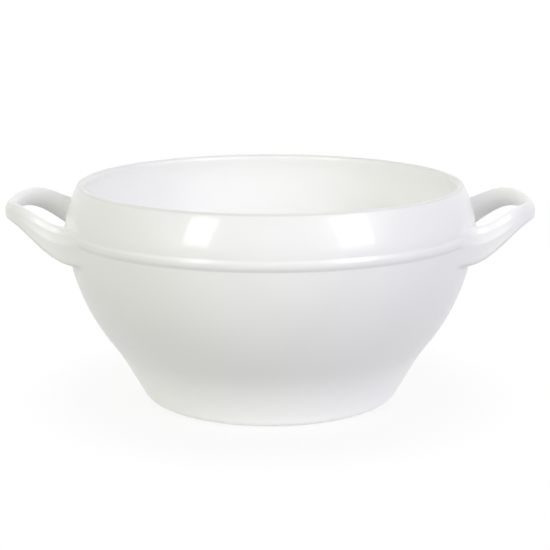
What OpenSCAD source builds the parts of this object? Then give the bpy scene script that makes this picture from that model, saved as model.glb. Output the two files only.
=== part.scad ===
// Two-handled consomme bowl in glazed white porcelain.
// The bowl stands on z = 0 with its axis on Z. The handles reach out along +X and -X.

/* [Bowl] */
// Outer diameter at the rim
rim_d = 120; // [112:1:124]
// Height from the table to the rim
bowl_h = 67.9; // [64:0.1:74]
// Diameter of the sphere that the belly is a part of
belly_d = 127.4; // [124:0.2:134]
// Height of that sphere's centre above the table
belly_centre_h = 57.7; // [55:0.1:61]
// Radius of the collar's outward swell between bead and lip
collar_swell_r = 38.5; // [25:0.5:80]
// Thickness of the belly's wall
wall_t = 3.6; // [2.8:0.1:5]
// Thickness of the rounded lip
lip_t = 2.4; // [2:0.1:3.4]
// Height of the inside floor above the table
floor_h = 9.8; // [7.5:0.1:13]
// Radius of the hollow between the inside floor and the wall
floor_r = 26; // [18:0.5:32]

/* [Bead] */
// Height of the crease under the bead
bead_z = 52.4; // [49:0.1:54]
// Height of the bead
bead_h = 3.8; // [2.5:0.1:5]
// How far the bead stands out from the wall
bead_proud = 0.75; // [0.4:0.05:1.2]

/* [Foot] */
// Outer diameter of the flat ring that the bowl stands on
foot_d = 72.9; // [66:0.1:78]
// Radius that turns the standing ring into the foot's flank
foot_corner_r = 4.5; // [2:0.1:6]
// Slope of the foot's flank, measured from the table
foot_slope = 60.6; // [57:0.1:66]
// Least depth to which the flank's line cuts the belly; a smaller or higher belly steepens the flank
flank_bite = 0.6; // [0.3:0.1:1.2]
// Radius of the shallow hollow between flank and belly
waist_r = 60; // [30:1:90]
// Height at which the foot is joined to the body
foot_joint_h = 5; // [4:0.1:6]
// Width of the flat standing ring
standing_w = 3.2; // [2:0.1:5]
// Rounding at the inner edge of the standing ring
foot_inner_r = 1; // [0.5:0.1:2]
// Draft of the foot's inner wall, in degrees
foot_draft = 8; // [0:1:15]

/* [Handles] */
// Width of a loop over the outer faces of its two arms
loop_w = 51.4; // [44:0.2:58]
// Distance from the bead's face to the middle of the strap at the tip
loop_reach = 16.2; // [13:0.1:22]
// Fullness of the loop in plan, where 2 is an oval and more is squarer
loop_fullness = 2.25; // [2:0.05:2.6]
// Thickness of the strap under its top edge
strap_t = 3.2; // [2.8:0.1:4]
// Rounding of the strap's inner top edge
top_inner_r = 1.3; // [0.9:0.1:1.4]
// Rounding of its outer shoulder
shoulder_r = 1.2; // [1:0.1:1.4]
// Height from the top edge down to the middle of the shoulder
shoulder_drop = 2.2; // [1.9:0.1:2.5]
// Radius of the round lower edge
low_edge_r = 1.5; // [1.2:0.1:1.7]
// Outward lean of the lower edge at the wall
lean_at_wall = -0.3; // [-0.6:0.1:0.3]
// The same, pulling the edge out as it leaves the wall
lean_leaving_wall = 0.6; // [0:0.1:0.9]
// The same, pulling the edge out before the tip
lean_nearing_tip = 0.8; // [0:0.1:1]
// The same, at the tip
lean_at_tip = 0.1; // [-0.3:0.1:0.3]
// Height of the band below the shoulder that carries on the bead, at the wall
band_at_wall = 2.7; // [2:0.1:3.4]
// The same, at the tip, where it has faded out
band_at_tip = 0.5; // [0.3:0.1:0.7]
// How far the band's lower edge stands out at the wall
band_proud = 0.3; // [0.15:0.05:0.5]
// Height of the undercut below that edge
band_undercut = 1.1; // [0.8:0.1:1.5]
// Height of the strap's top edge over the bead's crease, at the wall
top_at_wall = 5.3; // [5:0.1:7]
// The same, pulling the edge flat as it leaves the wall
top_leaving_wall = 3.9; // [3:0.1:7]
// The same, pulling the edge up before the tip
top_nearing_tip = 13.8; // [11:0.1:15]
// The same, at the tip
top_at_tip = 10; // [8.5:0.1:11]
// Height of the strap's lower edge over the bead's crease, at the wall
low_at_wall = -5.5; // [-7:0.1:-4]
// The same, pulling the edge flat as it leaves the wall
low_leaving_wall = -7; // [-8:0.1:-4]
// The same, pulling the edge up before the tip
low_nearing_tip = 8; // [5:0.1:9]
// The same, at the tip
low_at_tip = 4.8; // [3.5:0.1:5.5]
// Radius of the hollow that spreads each root onto the wall
root_fillet_r = 3; // [2:0.1:5]

/* [Joints] */
// Thickness of the slip that joins foot and handles to the body
slip_t = 0.4; // [0.2:0.05:0.6]
// How far the slip squeezes out round a handle's root
slip_squeeze = 0.5; // [0.2:0.1:0.8]

/* [Hidden] */

porcelain = [0.95, 0.95, 0.94];
bisque = [0.90, 0.89, 0.86];
$fn = 144;

// Steps of the curves
corner_steps = 6;
waist_steps = 5;
belly_steps = 14;
bead_steps = 8;
collar_steps = 8;
lip_steps = 10;
inner_wall_steps = 10;
inner_belly_steps = 8;
floor_steps = 8;
top_inner_steps = 3;
shoulder_steps = 4;
low_edge_steps = 8;
loop_steps = 24;

// Points on an arc about c, from angle a0 to angle a1
function arc(c, r, a0, a1, steps) =
    [for (i = [0:steps]) let (a = a0 + (a1 - a0) * i / steps) c + r * [cos(a), sin(a)]];

// Points of the arc from p to q that swells to the right of the way by rise
function swell(p, q, rise, steps) =
    let (
        chord = norm(q - p),
        r = (chord * chord / 4 + rise * rise) / (2 * rise),
        along = (q - p) / chord,
        c = (p + q) / 2 + (rise - r) * [along[1], -along[0]],
        from = p - c,
        to = q - c
    )
    arc(c, r, atan2(from[1], from[0]), atan2(to[1], to[0]), steps);

// One number, or one point, on a cubic curve with four controls
function cubic(k, t) =
    pow(1 - t, 3) * k[0] + 3 * pow(1 - t, 2) * t * k[1] + 3 * (1 - t) * t * t * k[2] + t * t * t * k[3];

// Where two circles meet, on the left of the way from c1 to c2
function circles_meet(c1, r1, c2, r2) =
    let (
        d = norm(c2 - c1),
        way = (c2 - c1) / d,
        a = (r1 * r1 - r2 * r2 + d * d) / (2 * d),
        h = sqrt(r1 * r1 - a * a)
    )
    c1 + a * way + h * [-way[1], way[0]];

// Radius of a sphere of radius r about the belly's centre, at height z
function belly_at(r, z) = sqrt(r * r - pow(z - belly_centre_h, 2));

// Foot: the corner, the straight flank and the hollow that leads into the belly
belly_r = belly_d / 2;
belly_c = [0, belly_centre_h];
corner_c = [foot_d / 2, foot_corner_r];
corner_from = corner_c - belly_c;
least_slope = 90 + atan2(corner_from[1], corner_from[0])
    + acos(min(1, (belly_r - flank_bite - foot_corner_r) / norm(corner_from)));
flank_slope = max(foot_slope, least_slope);
flank_out = [sin(flank_slope), -cos(flank_slope)];
flank_way = [cos(flank_slope), sin(flank_slope)];
flank_start = corner_c + foot_corner_r * flank_out;
waist_from = flank_start + waist_r * flank_out - belly_c;
waist_along = waist_from * flank_way;
flank_len = -waist_along
    - sqrt(waist_along * waist_along - waist_from * waist_from + pow(belly_r + waist_r, 2));
flank_end = flank_start + flank_len * flank_way;
waist_c = flank_end + waist_r * flank_out;
belly_start_a = atan2(waist_c[1] - belly_centre_h, waist_c[0]);
function flank_at(z) = flank_start[0] + (z - flank_start[1]) / tan(flank_slope);

// Belly, bead and collar: the line that the handles seat on
bead_top = bead_z + bead_h;
crease = [belly_at(belly_r, bead_z), bead_z];
collar_start = [belly_at(belly_r, bead_top), bead_top];
lip_r = lip_t / 2;
lip_c = [rim_d / 2 - lip_r, bowl_h - lip_r];
collar_c = circles_meet(collar_start, collar_swell_r, lip_c, collar_swell_r - lip_r);
collar_from = collar_start - collar_c;
lip_from = lip_c - collar_c;
lip_a = atan2(lip_from[1], lip_from[0]);
belly_line = arc(belly_c, belly_r, belly_start_a, atan2(bead_z - belly_centre_h, crease[0]), belly_steps);
bead_line = swell(crease, collar_start, bead_proud, bead_steps);
collar_line = arc(collar_c, collar_swell_r, atan2(collar_from[1], collar_from[0]), lip_a, collar_steps);
function but_first(line) = [for (i = [1:len(line) - 1]) line[i]];
wall_line = concat(belly_line, but_first(bead_line), but_first(collar_line));
bead_face_r = max([for (p = bead_line) p[0]]);

// Inside: the lip turns over, and the wall runs down to a round-cornered floor
inner_r = belly_r - wall_t;
inner_top = lip_c - lip_r * [cos(lip_a), sin(lip_a)];
inner_low_z = bead_z - 2 * bead_h;
inner_low = [belly_at(inner_r, inner_low_z), inner_low_z];
inner_low_a = atan2(inner_low_z - belly_centre_h, inner_low[0]);
inner_pull = norm(inner_top - inner_low) * 0.36;
inner_controls = [
    inner_top,
    inner_top + inner_pull * [sin(lip_a), -cos(lip_a)],
    inner_low - inner_pull * [sin(inner_low_a), -cos(inner_low_a)],
    inner_low
];
floor_c = [
    sqrt(pow(inner_r - floor_r, 2) - pow(belly_centre_h - floor_h - floor_r, 2)),
    floor_h + floor_r
];
floor_a = atan2(floor_c[1] - belly_centre_h, floor_c[0]);
lip_line = arc(lip_c, lip_r, lip_a, lip_a + 180, lip_steps);
inner_wall = [for (i = [1:inner_wall_steps]) cubic(inner_controls, i / inner_wall_steps)];
inner_belly = arc(belly_c, inner_r, inner_low_a, floor_a, inner_belly_steps);
inner_floor = arc(floor_c, floor_r, floor_a, -90, floor_steps);

// Handle: an oval loop whose arms run straight into the wall
loop_b = loop_w / 2 - strap_t / 2 - band_proud;
loop_x = belly_at(belly_r, bead_top);
loop_c = sqrt(loop_x * loop_x - loop_b * loop_b);
loop_a = bead_face_r + loop_reach - loop_c;
sunk_runs = [7, 4, 2];
root_turns = [-90, -88, -85.5];
loop_turns = concat(
    root_turns,
    [for (i = [1:loop_steps - 1]) 180 * i / loop_steps - 90],
    [for (i = [len(root_turns) - 1:-1:0]) -root_turns[i]]
);
top_heights = [top_at_wall, top_leaving_wall, top_nearing_tip, top_at_tip];
low_heights = [low_at_wall, low_leaving_wall, low_nearing_tip, low_at_tip];
leans = [lean_at_wall, lean_leaving_wall, lean_nearing_tip, lean_at_tip];
band_fade = [1, 1, -0.25, 0];
band_swell = [[0.5, 0.3], [0.85, 0.8], [1, 1]];
under_swell = [[0.4, 0.4], [1, 0]];
fillet_most = 0.8;
wall_table = [for (p = wall_line) [p[1], p[0]]];

// Growth of a root where its skin is d away from the wall
function root_growth(d) =
    let (u = min(fillet_most, max(0, 1 - d / root_fillet_r)))
    root_fillet_r * (1 - sqrt(1 - u * u));

// A point of the strap's skin, r away from c at angle a of its section, grown by its own root fillet
function skin(at, out, c, r, a, grow) =
    let (
        n = c[0] + r * cos(a),
        z = c[1] + r * sin(a),
        d = norm(at + n * out) - lookup(z, wall_table),
        g = r + grow + root_growth(d),
        m = c[0] + g * cos(a)
    )
    [at[0] + m * out[0], at[1] + m * out[1], c[1] + g * sin(a)];

// Outward angle of the line that touches two round edges, on the left of the way from c1 to c2
function touch_a(c1, r1, c2, r2) =
    let (way = c2 - c1)
    atan2(way[1], way[0]) + acos((r1 - r2) / norm(way));

// One section of the strap, at a place in plan with its outward way and its progress to the tip
function strap_ring(at, out, t, grow) =
    let (
        top_z = bead_z + cubic(top_heights, t),
        low_z = bead_z + cubic(low_heights, t),
        inner = [top_inner_r - strap_t / 2, top_z - top_inner_r],
        shoulder = [strap_t / 2 - shoulder_r, top_z - shoulder_drop],
        low = [cubic(leans, t), low_z + low_edge_r],
        inside_a = touch_a(low, low_edge_r, inner, top_inner_r),
        roof_a = touch_a(inner, top_inner_r, shoulder, shoulder_r),
        face_a = touch_a(shoulder, shoulder_r, low, low_edge_r),
        face_top = shoulder + shoulder_r * [cos(face_a), sin(face_a)],
        down = [sin(face_a), -cos(face_a)],
        share = max(0, cubic(band_fade, t)),
        band_h = band_at_tip + (band_at_wall - band_at_tip) * share,
        under_h = band_undercut * band_h / band_at_wall
    )
    concat(
        [for (i = [0:top_inner_steps])
            skin(at, out, inner, top_inner_r, inside_a + (roof_a - inside_a) * i / top_inner_steps, grow)],
        [for (i = [0:shoulder_steps])
            skin(at, out, shoulder, shoulder_r, roof_a + (face_a - roof_a) * i / shoulder_steps, grow)],
        [for (s = band_swell)
            skin(at, out, face_top + band_h * s[0] * down, band_proud * share * s[1], face_a, grow)],
        [for (s = under_swell)
            skin(at, out, face_top + (band_h + under_h * s[0]) * down, band_proud * share * s[1], face_a, grow)],
        [for (i = [0:low_edge_steps])
            skin(at, out, low, low_edge_r, face_a + (inside_a - 360 - face_a) * i / low_edge_steps, grow)]
    );

// The section at angle a of the loop, 0 at the tip
function loop_ring(a, grow) =
    let (
        k = 2 / loop_fullness,
        t = pow(cos(a), k),
        aside = sign(a) * pow(abs(sin(a)), k),
        way = [loop_b * pow(cos(a), 2 - k), loop_a * sign(a) * pow(abs(sin(a)), 2 - k)]
    )
    strap_ring([loop_c + loop_a * t, loop_b * aside], way / norm(way), t, grow);

// The section a run inside the wall, on the side given by sign
function sunk_ring(run, side, grow) = strap_ring([loop_c - run, side * loop_b], [0, side], 0, grow);

// A closed skin over a row of sections
module skin_over(rings) {
    m = len(rings[0]);
    last = len(rings) - 1;
    polyhedron(
        points = [for (ring = rings) for (p = ring) p],
        faces = concat(
            [[for (j = [0:m - 1]) j]],
            [[for (j = [0:m - 1]) last * m + m - 1 - j]],
            [for (i = [0:last - 1]) for (j = [0:m - 1])
                let (k = (j + 1) % m)
                for (f = [[i * m + j, i * m + m + j, i * m + m + k], [i * m + j, i * m + m + k, i * m + k]]) f]
        ),
        convexity = 6
    );
}

// The whole loop with both its roots sunk into the wall
module loop_strap() {
    skin_over(concat(
        [for (run = sunk_runs) sunk_ring(run, -1, 0)],
        [for (a = loop_turns) loop_ring(a, 0)],
        [for (i = [len(sunk_runs) - 1:-1:0]) sunk_ring(sunk_runs[i], 1, 0)]
    ));
}

// The front root alone, grown by the slip that squeezes out round it
module front_root() {
    skin_over(concat(
        [for (run = sunk_runs) sunk_ring(run, -1, slip_squeeze)],
        [for (a = loop_turns) if (a < -45) loop_ring(a, slip_squeeze)]
    ));
}

// Everything inside the wall and its coat of slip
module wall_core() {
    rotate_extrude()
        polygon(concat(
            [[0, wall_line[0][1]]],
            [for (p = wall_line) p + [slip_t, 0]],
            [[0, wall_line[len(wall_line) - 1][1]]]
        ));
}

// A coat of slip over the outside of the wall
module wall_slip() {
    rotate_extrude()
        polygon(concat(
            [for (p = wall_line) p + [slip_t, 0]],
            [for (i = [len(wall_line) - 1:-1:0]) wall_line[i]]
        ));
}

// A handle on the +X side, coped to the wall and over the bead
module handle() {
    color(porcelain)
        difference() {
            loop_strap();
            wall_core();
        }
}

// The pad of slip between the wall and a front root on the +X side
module root_slip() {
    color(bisque)
        intersection() {
            wall_slip();
            front_root();
        }
}

module bowl_body() {
    color(porcelain)
        rotate_extrude()
            polygon(concat(
                [[0, foot_joint_h], [flank_at(foot_joint_h), foot_joint_h]],
                arc(waist_c, waist_r, 90 + flank_slope, 180 + belly_start_a, waist_steps),
                but_first(wall_line),
                but_first(lip_line),
                inner_wall,
                but_first(inner_belly),
                but_first(inner_floor),
                [[0, floor_h]]
            ));
}

// Radius of the foot's inner wall at height z
function foot_bore_at(z) = foot_d / 2 - standing_w - foot_inner_r - (z - foot_inner_r) * tan(foot_draft);

module foot_ring() {
    top = foot_joint_h - slip_t;
    inner_c = [foot_d / 2 - standing_w, foot_inner_r];
    color(bisque)
        rotate_extrude()
            polygon(concat(
                arc(corner_c, foot_corner_r, -90, flank_slope - 90, corner_steps),
                [[flank_at(top), top], [foot_bore_at(top), top]],
                arc(inner_c, foot_inner_r, 180, 270, corner_steps)
            ));
}

module foot_slip() {
    low = foot_joint_h - slip_t;
    color(bisque)
        rotate_extrude()
            polygon([
                [foot_bore_at(low), low],
                [flank_at(low), low],
                [flank_at(foot_joint_h), foot_joint_h],
                [foot_bore_at(low), foot_joint_h]
            ]);
}

module right_handle() { handle(); }
module left_handle() { mirror([1, 0, 0]) handle(); }
module right_front_slip() { root_slip(); }
module right_back_slip() { mirror([0, 1, 0]) root_slip(); }
module left_front_slip() { mirror([1, 0, 0]) root_slip(); }
module left_back_slip() { mirror([1, 0, 0]) mirror([0, 1, 0]) root_slip(); }

bowl_body();
foot_ring();
foot_slip();
left_handle();
right_handle();
left_front_slip();
left_back_slip();
right_front_slip();
right_back_slip();
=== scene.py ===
"""Looks of a two-handled consomme bowl in glazed white porcelain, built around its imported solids.

Sizes are in millimetres in the outlines and in metres in the finished meshes. The bowl stands on z = 0
with its axis on Z, and its handles reach out along +X and -X.
"""

import logging
import math
from dataclasses import dataclass, field
from enum import Enum
from functools import cached_property

import bpy
import numpy as np
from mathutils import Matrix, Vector

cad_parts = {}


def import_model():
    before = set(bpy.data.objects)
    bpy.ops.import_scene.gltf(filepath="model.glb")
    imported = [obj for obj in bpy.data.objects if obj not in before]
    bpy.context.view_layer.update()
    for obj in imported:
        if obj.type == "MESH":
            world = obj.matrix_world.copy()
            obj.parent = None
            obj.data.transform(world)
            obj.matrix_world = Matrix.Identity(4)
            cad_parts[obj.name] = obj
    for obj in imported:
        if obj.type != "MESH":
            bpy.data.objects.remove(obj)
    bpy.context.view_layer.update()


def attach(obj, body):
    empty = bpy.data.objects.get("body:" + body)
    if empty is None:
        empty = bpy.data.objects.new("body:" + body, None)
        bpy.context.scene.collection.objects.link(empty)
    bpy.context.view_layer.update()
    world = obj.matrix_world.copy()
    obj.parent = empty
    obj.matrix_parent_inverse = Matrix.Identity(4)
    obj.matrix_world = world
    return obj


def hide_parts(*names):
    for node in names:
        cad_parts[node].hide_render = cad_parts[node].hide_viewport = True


LOG = logging.getLogger("consomme_bowl")
MM = 0.001
# Keeps a length of nothing from dividing by zero
TINY = 1e-9
# How many radii soften() counts on each side of a point
BELL_REACH = 3
BODY = "root"
Points = np.ndarray
Colour = tuple[float, float, float]
WHITE: Colour = (1.0, 1.0, 1.0)
Socket = bpy.types.NodeSocket


class Side(Enum):
    """The side of the bowl that a handle is on, with the sign of its X."""

    LEFT = -1
    RIGHT = 1


class Tone(Enum):
    """Named surface values that the finishes read from a mesh."""

    # Darker in hollows and creases: partly pooled glaze, partly painted shade
    POOL = "pool"
    # Painted shade on sharp convex bends such as the lip's crest, darker on its outer and upper side
    THIN = "thin"
    BARE = "bare"


class Shows(Enum):
    """Whether a lamp lights the bowl's white body or shows in its gloss."""

    BODY = "body"
    GLOSS = "gloss"


# Outlines


def arc(centre: Points, radius: float, start: float, end: float, steps: int) -> Points:
    """Make points on an arc.

    Args:
        centre: Centre of the arc.
        radius: Radius of the arc.
        start: First angle, in degrees.
        end: Last angle, in degrees.
        steps: Number of steps between them.

    Returns:
        The points, one row each.
    """
    angles = np.radians(np.linspace(start, end, steps + 1))
    return np.asarray(centre) + radius * np.column_stack([np.cos(angles), np.sin(angles)])


def cubic(controls: Points, t: Points) -> Points:
    """Evaluate a cubic curve.

    Args:
        controls: Four numbers or four points.
        t: Places along the curve, from 0 to 1.

    Returns:
        One number or one point for each place.
    """
    t = np.asarray(t, float)
    weights = np.stack([(1 - t) ** 3, 3 * (1 - t) ** 2 * t, 3 * (1 - t) * t**2, t**3], axis=-1)
    return weights @ np.asarray(controls, float)


def angle_of(way: Points) -> float:
    """Return the angle of a direction, in degrees."""
    return math.degrees(math.atan2(way[1], way[0]))


def unit(angle: float) -> Points:
    """Return the direction at an angle given in degrees."""
    return np.array([math.cos(math.radians(angle)), math.sin(math.radians(angle))])


def along(line: Points) -> Points:
    """Return each point's distance along a line from its first point."""
    return np.concatenate([[0.0], np.cumsum(np.linalg.norm(np.diff(line, axis=0), axis=1))])


def spread(line: Points, places: Points) -> Points:
    """Return the points of a line at the given distances along it."""
    run = along(line)
    return np.column_stack([np.interp(places, run, line[:, k]) for k in range(line.shape[1])])


def soften(line: Points, step: float, radius: float) -> Points:
    """Round the corners of an open line as a coat of glaze does.

    Args:
        line: Points of the line.
        step: Spacing of the points that come back.
        radius: Reach of the rounding.

    Returns:
        Evenly spaced points that keep both ends.
    """
    run = along(line)[-1]
    even = spread(line, np.linspace(0.0, run, int(round(run / step)) + 1))
    reach = int(math.ceil(BELL_REACH * radius / step))
    kernel = np.exp(-0.5 * (np.arange(-reach, reach + 1) * step / radius) ** 2)
    kernel /= kernel.sum()
    before = 2 * even[0] - even[reach:0:-1]
    after = 2 * even[-1] - even[-2 : -reach - 2 : -1]
    padded = np.vstack([before, even, after])
    return np.column_stack([np.convolve(padded[:, k], kernel, "valid") for k in range(2)])


def bend(line: Points) -> Points:
    """Return how a line turns at each point.

    Args:
        line: Points of the line.

    Returns:
        Radians per millimetre, positive where the line bulges to the right.
    """
    way = np.diff(line, axis=0)
    length = np.linalg.norm(way, axis=1)
    heading = np.unwrap(np.arctan2(way[:, 1], way[:, 0]))
    turn = np.zeros(len(line))
    turn[1:-1] = np.diff(heading) / (0.5 * (length[1:] + length[:-1]))
    return turn


def fit_points(line: Points, longest: float, sharpest: float) -> Points:
    """Thin out a line so that its points lie close together only where it bends.

    Args:
        line: Evenly and closely spaced points.
        longest: Longest step between points.
        sharpest: Largest turn between points, in degrees.

    Returns:
        The places along the line to keep, as distances.
    """
    run = along(line)
    need = 1 / longest + np.abs(bend(line)) / math.radians(sharpest)
    total = np.concatenate([[0.0], np.cumsum(0.5 * (need[1:] + need[:-1]) * np.diff(run))])
    return np.interp(np.linspace(0.0, total[-1], int(math.ceil(total[-1])) + 1), total, run)


@dataclass(frozen=True)
class BowlOutline:
    """Driving sizes of the turned body and its foot, in millimetres, and the lines that follow from them.

    Names end in _d, _r, _t, _w and _h for a diameter, radius, thickness, width and height, in _c for a centre
    and in _a for an angle in degrees.
    """

    rim_d: float = 120.0
    bowl_h: float = 67.9
    belly_d: float = 127.4
    belly_centre_h: float = 57.7
    collar_swell_r: float = 38.5
    wall_t: float = 3.6
    lip_t: float = 2.4
    floor_h: float = 9.8
    floor_r: float = 26.0
    bead_z: float = 52.4
    bead_h: float = 3.8
    bead_face_h: float = 3.1
    bead_proud: float = 0.52
    foot_d: float = 72.9
    foot_corner_r: float = 4.5
    foot_slope: float = 60.6
    waist_r: float = 60.0
    foot_joint_h: float = 5.0
    standing_w: float = 3.2
    foot_inner_r: float = 1.0
    foot_draft: float = 8.0
    inner_pull: float = 0.36
    inner_drop: float = 2.0
    crease_soft: float = 0.08
    groove_d: float = 0.16
    groove_rise: float = 0.5
    groove_w: float = 1.1
    waist_steps: int = 24
    belly_steps: int = 80
    bead_steps: int = 32
    bead_probe_steps: int = 40
    over_bead_steps: int = 8
    collar_steps: int = 40
    lip_steps: int = 48
    inner_collar_steps: int = 40
    inner_belly_steps: int = 60
    floor_steps: int = 40

    @property
    def belly_r(self) -> float:
        """Radius of the belly's sphere."""
        return self.belly_d / 2

    @property
    def belly_c(self) -> Points:
        """Centre of the belly's sphere."""
        return np.array([0.0, self.belly_centre_h])

    def on_sphere(self, radius: float, z: float) -> Points:
        """Return the point at height z on a sphere about the belly's centre."""
        return np.array([math.sqrt(radius**2 - (z - self.belly_centre_h) ** 2), z])

    @property
    def corner_c(self) -> Points:
        """Centre of the round between standing ring and flank."""
        return np.array([self.foot_d / 2, self.foot_corner_r])

    @property
    def flank_out(self) -> Points:
        """Outward direction of the foot's flank."""
        return unit(self.foot_slope - 90)

    @property
    def flank_start(self) -> Points:
        """Lower end of the straight flank."""
        return self.corner_c + self.foot_corner_r * self.flank_out

    def flank_at(self, z: float) -> float:
        """Return the flank's radius at height z."""
        return self.flank_start[0] + (z - self.flank_start[1]) / math.tan(math.radians(self.foot_slope))

    @cached_property
    def flank_end(self) -> Points:
        """Upper end of the straight flank, where the hollow that touches the belly begins.

        Returns:
            Its radius and height.
        """
        way = unit(self.foot_slope)
        start = self.flank_start + self.waist_r * self.flank_out - self.belly_c
        run = float(start @ way)
        length = -run - math.sqrt(run**2 - float(start @ start) + (self.belly_r + self.waist_r) ** 2)
        return self.flank_start + length * way

    @property
    def waist_c(self) -> Points:
        """Centre of the hollow between flank and belly."""
        return self.flank_end + self.waist_r * self.flank_out

    @property
    def belly_start_a(self) -> float:
        """Angle on the belly's sphere at which the hollow ends."""
        return angle_of(self.waist_c - self.belly_c)

    @property
    def bead_top(self) -> float:
        """Height of the bead's upper edge."""
        return self.bead_z + self.bead_h

    @property
    def crease(self) -> Points:
        """Corner under the bead."""
        return self.on_sphere(self.belly_r, self.bead_z)

    @property
    def collar_start(self) -> Points:
        """Corner above the bead."""
        return self.on_sphere(self.belly_r, self.bead_top)

    @property
    def lip_r(self) -> float:
        """Radius of the round lip."""
        return self.lip_t / 2

    @property
    def lip_c(self) -> Points:
        """Centre of the round lip."""
        return np.array([self.rim_d / 2 - self.lip_r, self.bowl_h - self.lip_r])

    @cached_property
    def collar_c(self) -> Points:
        """Centre of the collar's swell, which touches the lip.

        Returns:
            Its radius and height.
        """
        way = self.lip_c - self.collar_start
        gap = float(np.linalg.norm(way))
        way = way / gap
        reach = self.collar_swell_r - self.lip_r
        run = (self.collar_swell_r**2 - reach**2 + gap**2) / (2 * gap)
        rise = math.sqrt(self.collar_swell_r**2 - run**2)
        return self.collar_start + run * way + rise * np.array([-way[1], way[0]])

    @property
    def lip_a(self) -> float:
        """Angle at which the collar runs into the lip."""
        return angle_of(self.lip_c - self.collar_c)

    @property
    def bead_face_top(self) -> float:
        """Height at which the bead's round face ends."""
        return self.bead_z + self.bead_face_h

    @property
    def bead_end(self) -> Points:
        """Upper corner of the bead's round face."""
        return self.on_sphere(self.belly_r, self.bead_face_top)

    @property
    def bead_chord(self) -> float:
        """Length from the bead's crease to its upper corner."""
        return float(np.linalg.norm(self.bead_end - self.crease))

    @property
    def bead_r(self) -> float:
        """Radius of the bead's round face."""
        return (self.bead_chord**2 / 4 + self.bead_proud**2) / (2 * self.bead_proud)

    @cached_property
    def bead_c(self) -> Points:
        """Centre of the bead's round face.

        Returns:
            Its radius and height.
        """
        way = (self.bead_end - self.crease) / self.bead_chord
        side = np.array([way[1], -way[0]])
        return (self.crease + self.bead_end) / 2 + (self.bead_proud - self.bead_r) * side

    def bead_line(self, steps: int) -> Points:
        """Return the bead's round face from the crease up to its upper corner."""
        first, last = angle_of(self.crease - self.bead_c), angle_of(self.bead_end - self.bead_c)
        return arc(self.bead_c, self.bead_r, first, last, steps)

    @property
    def bead_face_r(self) -> float:
        """Largest radius of the bead."""
        return float(self.bead_line(self.bead_probe_steps)[:, 0].max())

    def groove_at(self, z: Points) -> Points:
        """Return the depth of the shallow groove over the bead at heights z."""
        return self.groove_d * np.exp(-(((z - self.bead_face_top - self.groove_rise) / self.groove_w) ** 2))

    def outside(self) -> Points:
        """Draw the outside, from the foot's joint up to the top of the collar.

        Returns:
            Radius and height of each point.
        """
        crease_a = angle_of(self.crease - self.belly_c)
        over_a = angle_of(self.bead_end - self.belly_c)
        collar_a = angle_of(self.collar_start - self.belly_c)
        swell_a = angle_of(self.collar_start - self.collar_c)
        waist_a = 180 + self.belly_start_a
        line = np.vstack([
            [[self.flank_at(self.foot_joint_h), self.foot_joint_h]],
            arc(self.waist_c, self.waist_r, 90 + self.foot_slope, waist_a, self.waist_steps),
            arc(self.belly_c, self.belly_r, self.belly_start_a, crease_a, self.belly_steps)[1:],
            self.bead_line(self.bead_steps)[1:],
            arc(self.belly_c, self.belly_r, over_a, collar_a, self.over_bead_steps)[1:],
            arc(self.collar_c, self.collar_swell_r, swell_a, self.lip_a, self.collar_steps)[1:],
        ])
        line[:, 0] -= self.groove_at(line[:, 1])
        return line

    def inside(self) -> Points:
        """Draw the line over the lip and down the inside to the middle of the floor.

        Returns:
            Radius and height of each point.
        """
        inner_r = self.belly_r - self.wall_t
        low = self.on_sphere(inner_r, self.bead_z - self.inner_drop * self.bead_h)
        low_a = angle_of(low - self.belly_c)
        top = self.lip_c - self.lip_r * unit(self.lip_a)
        pull = self.inner_pull * float(np.linalg.norm(top - low))
        controls = [top, top + pull * unit(self.lip_a - 90), low - pull * unit(low_a - 90), low]
        reach = inner_r - self.floor_r
        floor_z = self.floor_h + self.floor_r
        floor_c = np.array([math.sqrt(reach**2 - (self.belly_centre_h - floor_z) ** 2), floor_z])
        floor_a = angle_of(floor_c - self.belly_c)
        return np.vstack([
            arc(self.lip_c, self.lip_r, self.lip_a, self.lip_a + 180, self.lip_steps),
            cubic(controls, np.linspace(0, 1, self.inner_collar_steps))[1:],
            arc(self.belly_c, inner_r, low_a, floor_a, self.inner_belly_steps)[1:],
            arc(floor_c, self.floor_r, floor_a, -90, self.floor_steps)[1:],
            [[0.0, self.floor_h]],
        ])

    def foot_bore_at(self, z: float) -> float:
        """Return the radius of the foot's inner wall at height z."""
        low = self.foot_d / 2 - self.standing_w - self.foot_inner_r
        return low - (z - self.foot_inner_r) * math.tan(math.radians(self.foot_draft))

    def wall_gap(self, points: Points, bead_share: float) -> tuple[Points, Points]:
        """Measure how far points lie outside the wall and its bead.

        Args:
            points: Places in space, one row each.
            bead_share: Share of the bead to count, from 0 to 1.

        Returns:
            The distance of each place, and the wall's outward direction there.
        """
        radius = np.hypot(points[:, 0], points[:, 1])
        flat = np.column_stack([radius, points[:, 2]])
        corner = self.collar_start
        above = np.arctan2(flat[:, 1] - self.collar_c[1], flat[:, 0] - self.collar_c[0])
        below = np.arctan2(flat[:, 1] - self.belly_c[1], flat[:, 0] - self.belly_c[0])
        on_collar = above > math.radians(angle_of(corner - self.collar_c))
        on_belly = below < math.radians(angle_of(corner - self.belly_c))
        centre = np.where(on_belly[:, None], self.belly_c, corner)
        centre = np.where(on_collar[:, None], self.collar_c, centre)
        size = np.where(on_collar, self.collar_swell_r, np.where(on_belly, self.belly_r, 0.0))
        way = flat - centre
        length = np.maximum(np.linalg.norm(way, axis=1), TINY)
        way = way / length[:, None]
        foot_z = flat[:, 1] - (length - size) * way[:, 1]
        across = 2 * (foot_z - self.bead_z) / self.bead_face_h - 1
        bead = self.crease_soft * np.logaddexp(0.0, self.bead_proud * (1 - across**2) / self.crease_soft)
        bead = bead_share * (bead - self.groove_at(foot_z))
        ring = points[:, :2] / np.maximum(radius, TINY)[:, None]
        return length - size - bead, np.column_stack([way[:, :1] * ring, way[:, 1]])


# Node trees


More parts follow.
